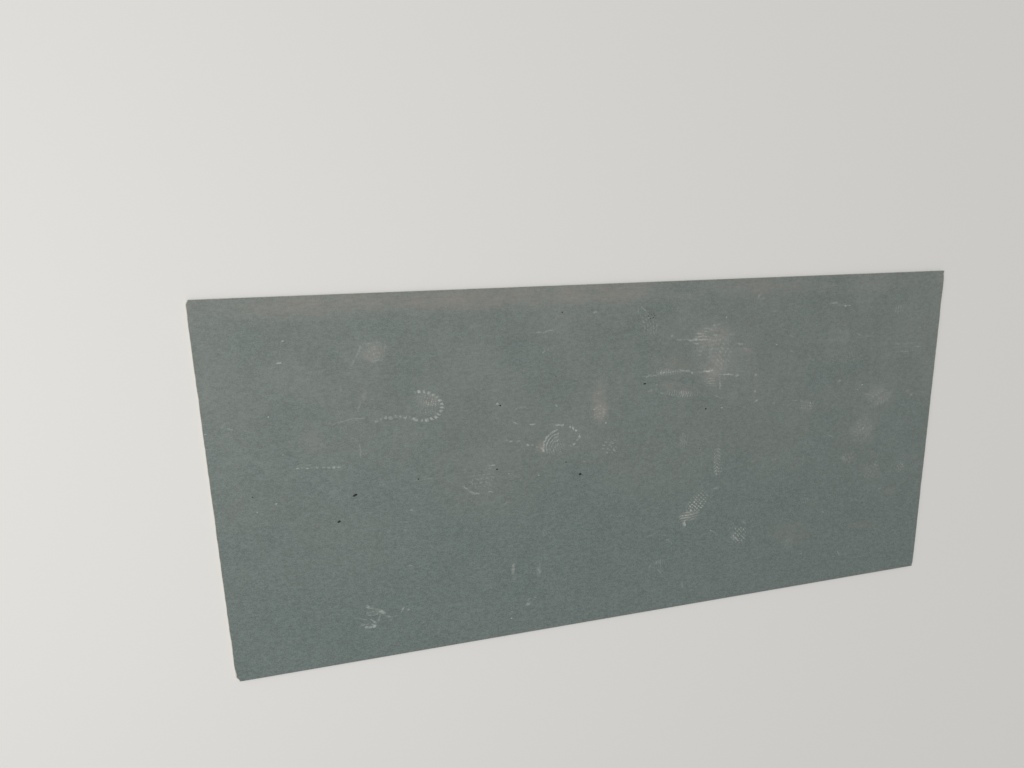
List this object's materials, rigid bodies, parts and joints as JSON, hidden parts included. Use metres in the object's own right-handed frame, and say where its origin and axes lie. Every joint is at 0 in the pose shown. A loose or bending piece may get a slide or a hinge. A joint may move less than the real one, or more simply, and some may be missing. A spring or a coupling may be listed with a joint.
{
  "type": "drywall sheet",
  "caption": "Flat rectangular sheet of gypsum lined with green paper, with recessed paper-bound long edges, square cut ends and broken corners, for lining walls in damp rooms.",
  "frame": {"origin": "middle of the back face, which lies on the floor", "axes": "+X along the length, +Y across the width, +Z out of the green face"},
  "size_m": [2.6, 1.2, 0.0125],
  "materials": {
    "face_paper": "matte",
    "gypsum_core": "matte",
    "back_paper": "matte",
    "plaster_dust": "matte",
    "site_dirt": "matte"
  },
  "bodies": {
    "root": {"drywall_sheet": "face_paper"}
  },
  "joints": []
}
